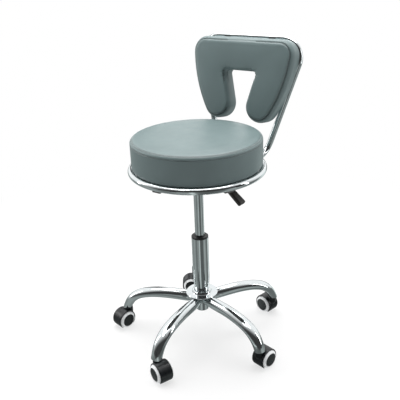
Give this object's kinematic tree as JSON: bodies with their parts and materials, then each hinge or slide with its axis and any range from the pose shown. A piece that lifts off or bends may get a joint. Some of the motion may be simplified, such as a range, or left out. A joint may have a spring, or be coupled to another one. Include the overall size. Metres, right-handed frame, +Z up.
{
  "type": "pedicure stool",
  "caption": "Salon stool on a wheeled star base: gas-lift column, round vinyl cushion in a chrome ring, and a leaning tube frame with a slotted padded back.",
  "frame": {"origin": "on the floor, on the column's axis", "axes": "+Z up along the column, the sitter faces -Y and the padded back is at +Y, +X is the sitter's left where the lever is"},
  "size_m": [0.5313, 0.5935, 0.8693],
  "materials": {
    "chrome": "polished",
    "bright_steel": "satin",
    "zinc_steel": "satin",
    "black_steel": "satin",
    "black_plastic": "satin",
    "grip_plastic": "satin",
    "caster_plastic": "satin",
    "pale_tyre": "satin",
    "rubber": "matte",
    "plywood": "matte",
    "grey_vinyl": "satin"
  },
  "bodies": {
    "base": {"base_hub": "chrome", "hub_disc": "chrome", "base_arm_1": "chrome", "base_arm_2": "chrome", "base_arm_3": "chrome", "base_arm_4": "chrome", "base_arm_5": "chrome", "stem_sockets": "bright_steel", "caster_stems": "bright_steel", "column_tube": "chrome", "column_bush": "black_plastic"},
    "piston": {"piston_rod": "bright_steel", "retaining_clip": "bright_steel", "bumper": "rubber", "thrust_bearing": "bright_steel"},
    "seat": {"gas_cylinder": "chrome", "seat_plate": "black_steel", "underseat_screws": "zinc_steel", "seat_board": "plywood", "seat_cushion": "grey_vinyl", "seat_ring": "chrome", "ring_brackets": "black_steel", "back_frame": "chrome", "frame_end_plugs": "black_plastic", "back_board": "plywood", "back_pad": "grey_vinyl", "back_pad_screws": "zinc_steel"},
    "lever": {"lever_rod": "black_steel", "lever_handle": "grip_plastic"},
    "valve": {"valve_button": "black_plastic"},
    "caster_1": {"caster_1_housing": "caster_plastic", "caster_1_axle": "bright_steel"},
    "caster_1_left_wheel": {"caster_1_wheel_left": "caster_plastic", "caster_1_tyre_left": "pale_tyre"},
    "caster_1_right_wheel": {"caster_1_wheel_right": "caster_plastic", "caster_1_tyre_right": "pale_tyre"},
    "caster_2": {"caster_2_housing": "caster_plastic", "caster_2_axle": "bright_steel"},
    "caster_2_left_wheel": {"caster_2_wheel_left": "caster_plastic", "caster_2_tyre_left": "pale_tyre"},
    "caster_2_right_wheel": {"caster_2_wheel_right": "caster_plastic", "caster_2_tyre_right": "pale_tyre"},
    "caster_3": {"caster_3_housing": "caster_plastic", "caster_3_axle": "bright_steel"},
    "caster_3_left_wheel": {"caster_3_wheel_left": "caster_plastic", "caster_3_tyre_left": "pale_tyre"},
    "caster_3_right_wheel": {"caster_3_wheel_right": "caster_plastic", "caster_3_tyre_right": "pale_tyre"},
    "caster_4": {"caster_4_housing": "caster_plastic", "caster_4_axle": "bright_steel"},
    "caster_4_left_wheel": {"caster_4_wheel_left": "caster_plastic", "caster_4_tyre_left": "pale_tyre"},
    "caster_4_right_wheel": {"caster_4_wheel_right": "caster_plastic", "caster_4_tyre_right": "pale_tyre"},
    "caster_5": {"caster_5_housing": "caster_plastic", "caster_5_axle": "bright_steel"},
    "caster_5_left_wheel": {"caster_5_wheel_left": "caster_plastic", "caster_5_tyre_left": "pale_tyre"},
    "caster_5_right_wheel": {"caster_5_wheel_right": "caster_plastic", "caster_5_tyre_right": "pale_tyre"}
  },
  "joints": [
    {"name": "seat_swivel", "type": "hinge", "parent": "base", "child": "piston", "pos_m": [0, 0, 0.091], "axis": [0, 0, 1], "continuous": true},
    {"name": "seat_lift", "type": "slide", "parent": "piston", "child": "seat", "axis": [0, 0, 1], "range_m": [-0.14, 0]},
    {"name": "lever_lift", "type": "hinge", "parent": "seat", "child": "lever", "pos_m": [0.02993, -0.00209, 0.5235], "axis": [-0.0698, -0.9976, 0], "range_deg": [0, 5.7], "stiffness_Nm_per_rad": 3},
    {"name": "valve_press", "type": "slide", "parent": "seat", "child": "valve", "axis": [0, 0, 1], "range_m": [-0.003, 0]},
    {"name": "caster_1_swivel", "type": "hinge", "parent": "base", "child": "caster_1", "pos_m": [-0.22855, -0.08545, 0.05], "axis": [0, 0, 1], "continuous": true},
    {"name": "caster_1_roll_left", "type": "hinge", "parent": "caster_1", "child": "caster_1_left_wheel", "pos_m": [-0.23309, -0.10647, 0.0275], "axis": [0.9774, -0.2113, 0], "continuous": true},
    {"name": "caster_1_roll_right", "type": "hinge", "parent": "caster_1", "child": "caster_1_right_wheel", "pos_m": [-0.23309, -0.10647, 0.0275], "axis": [0.9774, -0.2113, 0], "continuous": true},
    {"name": "caster_2_swivel", "type": "hinge", "parent": "base", "child": "caster_2", "pos_m": [0.01064, -0.24377, 0.05], "axis": [0, 0, 1], "continuous": true},
    {"name": "caster_2_roll_left", "type": "hinge", "parent": "caster_2", "child": "caster_2_left_wheel", "pos_m": [0.03061, -0.25175, 0.0275], "axis": [0.3714, 0.9285, 0], "continuous": true},
    {"name": "caster_2_roll_right", "type": "hinge", "parent": "caster_2", "child": "caster_2_right_wheel", "pos_m": [0.03061, -0.25175, 0.0275], "axis": [0.3714, 0.9285, 0], "continuous": true},
    {"name": "caster_3_swivel", "type": "hinge", "parent": "base", "child": "caster_3", "pos_m": [0.23513, -0.06521, 0.05], "axis": [0, 0, 1], "continuous": true},
    {"name": "caster_3_roll_left", "type": "hinge", "parent": "caster_3", "child": "caster_3_left_wheel", "pos_m": [0.23989, -0.04424, 0.0275], "axis": [-0.9751, 0.2215, 0], "continuous": true},
    {"name": "caster_3_roll_right", "type": "hinge", "parent": "caster_3", "child": "caster_3_right_wheel", "pos_m": [0.23989, -0.04424, 0.0275], "axis": [-0.9751, 0.2215, 0], "continuous": true},
    {"name": "caster_4_swivel", "type": "hinge", "parent": "base", "child": "caster_4", "pos_m": [0.13467, 0.20347, 0.05], "axis": [0, 0, 1], "continuous": true},
    {"name": "caster_4_roll_left", "type": "hinge", "parent": "caster_4", "child": "caster_4_left_wheel", "pos_m": [0.11378, 0.20856, 0.0275], "axis": [-0.2368, -0.9715, 0], "continuous": true},
    {"name": "caster_4_roll_right", "type": "hinge", "parent": "caster_4", "child": "caster_4_right_wheel", "pos_m": [0.11378, 0.20856, 0.0275], "axis": [-0.2368, -0.9715, 0], "continuous": true},
    {"name": "caster_5_swivel", "type": "hinge", "parent": "base", "child": "caster_5", "pos_m": [-0.15189, 0.19096, 0.05], "axis": [0, 0, 1], "continuous": true},
    {"name": "caster_5_roll_left", "type": "hinge", "parent": "caster_5", "child": "caster_5_left_wheel", "pos_m": [-0.1695, 0.17862, 0.0275], "axis": [0.5736, -0.8192, 0], "continuous": true},
    {"name": "caster_5_roll_right", "type": "hinge", "parent": "caster_5", "child": "caster_5_right_wheel", "pos_m": [-0.1695, 0.17862, 0.0275], "axis": [0.5736, -0.8192, 0], "continuous": true}
  ],
  "couplings": [
    {"joint": "valve_press", "follows": "lever_lift", "m_per_rad": -0.03}
  ]
}
